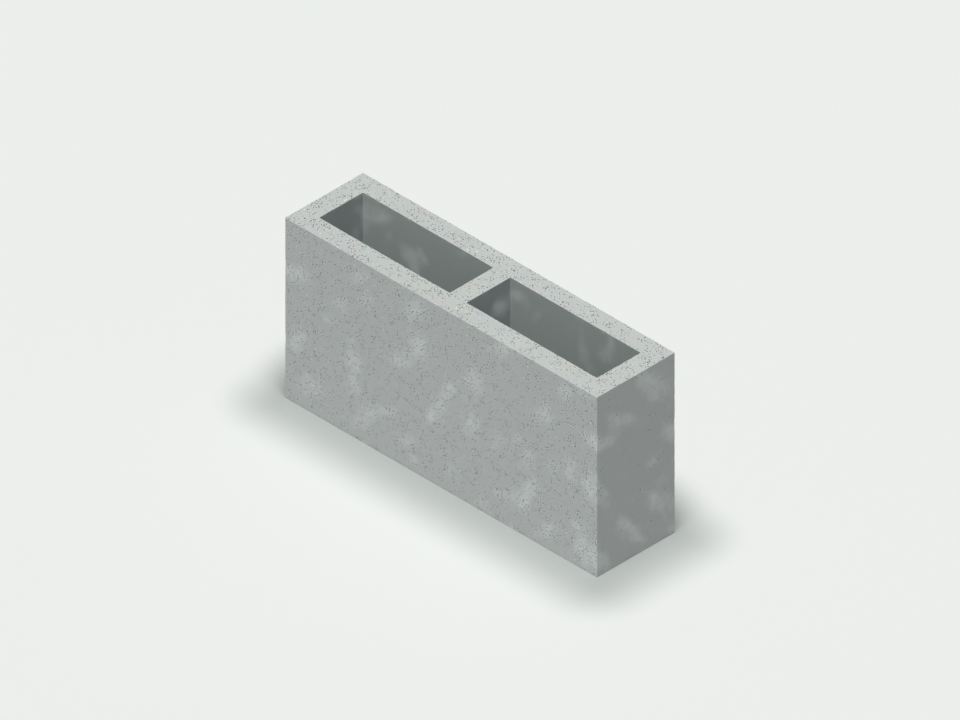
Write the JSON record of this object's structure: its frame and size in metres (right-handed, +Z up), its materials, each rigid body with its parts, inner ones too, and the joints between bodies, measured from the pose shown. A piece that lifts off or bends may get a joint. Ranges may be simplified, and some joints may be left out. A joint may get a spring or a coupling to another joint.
{
  "type": "concrete block",
  "caption": "Slim rectangular concrete masonry block with rectangular cores through its height, plain ends and flat bed faces, laid in mortar to build thin walls.",
  "frame": {"origin": "middle of the lower bed face, at the foot of the centre web", "axes": "+X along the length, +Y across the width, +Z up through the cores as the block is laid, with the thicker ends of its webs up"},
  "size_m": [0.4, 0.1, 0.2],
  "materials": {
    "concrete": "matte"
  },
  "bodies": {
    "root": {"concrete_block": "concrete"}
  },
  "joints": []
}
